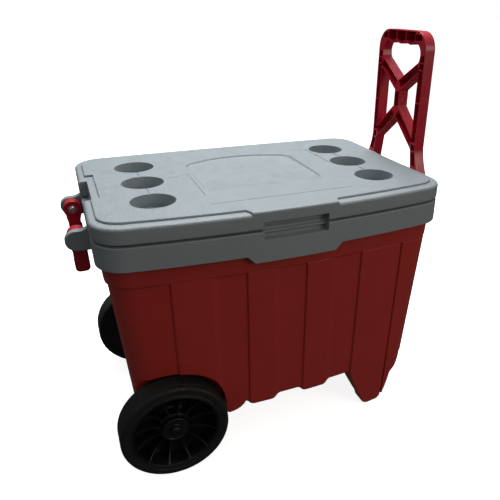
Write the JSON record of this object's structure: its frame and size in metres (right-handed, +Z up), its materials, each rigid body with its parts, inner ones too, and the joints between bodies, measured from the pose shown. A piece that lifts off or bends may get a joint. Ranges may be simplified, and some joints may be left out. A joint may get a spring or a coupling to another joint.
{
  "type": "cooler on wheels",
  "caption": "Wheeled picnic cooler: insulated red tub, hinged grey lid with cup holders, fold-down tow handle, carry bail, wheels on a steel axle and a drain.",
  "frame": {"origin": "centre of the footprint at floor level", "axes": "+Z up, +X towards the tow handle's end, -Y towards the front"},
  "size_m": [0.738, 0.4666, 0.779],
  "materials": {
    "grey_plastic": "moulded, fine grain",
    "red_body": "satin moulded",
    "red_handle": "semi-gloss moulded",
    "white_liner": "smooth",
    "foam": "foamed in place",
    "hinge_plastic": "moulded",
    "seal_rubber": "soft",
    "tyre": "dull",
    "wheel_plastic": "moulded",
    "black_steel": "dark plated",
    "steel": "zinc plated"
  },
  "bodies": {
    "body": {"axle": "steel", "axle_cap_front": "black_steel", "axle_cap_rear": "black_steel", "axle_washer_front": "steel", "axle_washer_rear": "steel", "bail_pivot_screw_front": "steel", "bail_pivot_screw_rear": "steel", "bail_pivot_washer_front": "steel", "bail_pivot_washer_rear": "steel", "drain_gasket": "seal_rubber", "drain_nut": "white_liner", "drain_spout": "white_liner", "hinge_body_leaf_left": "hinge_plastic", "hinge_body_leaf_right": "hinge_plastic", "hinge_body_screw_left_1": "steel", "hinge_body_screw_left_2": "steel", "hinge_body_screw_right_1": "steel", "hinge_body_screw_right_2": "steel", "hinge_pin_left": "steel", "hinge_pin_right": "steel", "inner_liner": "white_liner", "insulation_foam": "foam", "outer_shell": "red_body", "tow_pivot_screw_front": "steel", "tow_pivot_screw_rear": "steel", "tow_pivot_washer_front": "steel", "tow_pivot_washer_rear": "steel", "trim_collar": "grey_plastic"},
    "lid": {"lid_shell": "grey_plastic", "lid_liner": "white_liner", "lid_foam": "foam", "lid_gasket": "seal_rubber", "hinge_lid_leaf_left": "hinge_plastic", "hinge_lid_leaf_right": "hinge_plastic", "hinge_lid_screw_left_1": "steel", "hinge_lid_screw_left_2": "steel", "hinge_lid_screw_right_1": "steel", "hinge_lid_screw_right_2": "steel"},
    "tow_handle": {"tow_handle": "red_handle"},
    "carry_bail": {"carry_bail": "red_handle"},
    "wheel_front": {"wheel_rim_front": "wheel_plastic", "wheel_tyre_front": "tyre", "wheel_bush_front": "white_liner"},
    "wheel_rear": {"wheel_rim_rear": "wheel_plastic", "wheel_tyre_rear": "tyre", "wheel_bush_rear": "white_liner"},
    "drain_seal": {"drain_cap_seal": "seal_rubber"},
    "drain_cap": {"drain_cap": "grey_plastic"}
  },
  "joints": [
    {"name": "lid_hinge", "type": "hinge", "parent": "body", "child": "lid", "pos_m": [0, 0.22875, 0.4875], "axis": [-1, 0, 0], "range_deg": [0, 100]},
    {"name": "tow_handle_pivot", "type": "hinge", "parent": "body", "child": "tow_handle", "pos_m": [0.3463, -0.00325, 0.461], "axis": [0, 1, 0], "range_deg": [0, 180]},
    {"name": "carry_bail_pivot", "type": "hinge", "parent": "body", "child": "carry_bail", "pos_m": [-0.346, -0.00325, 0.461], "axis": [0, 1, 0], "range_deg": [0, 180]},
    {"name": "wheel_front_spin", "type": "hinge", "parent": "body", "child": "wheel_front", "pos_m": [-0.2397, -0.20325, 0.1015], "axis": [0, 1, 0], "continuous": true},
    {"name": "wheel_rear_spin", "type": "hinge", "parent": "body", "child": "wheel_rear", "pos_m": [-0.2397, 0.19675, 0.1015], "axis": [0, 1, 0], "continuous": true},
    {"name": "drain_cap_travel", "type": "slide", "parent": "body", "child": "drain_seal", "axis": [1, 0, 0], "range_m": [0, 0.006]},
    {"name": "drain_cap_turn", "type": "hinge", "parent": "drain_seal", "child": "drain_cap", "pos_m": [0.3173, -0.00325, 0.16], "axis": [1, 0, 0], "range_deg": [0, 540]}
  ],
  "couplings": [
    {"joint": "drain_cap_turn", "follows": "drain_cap_travel", "rad_per_m": 1570.8}
  ]
}
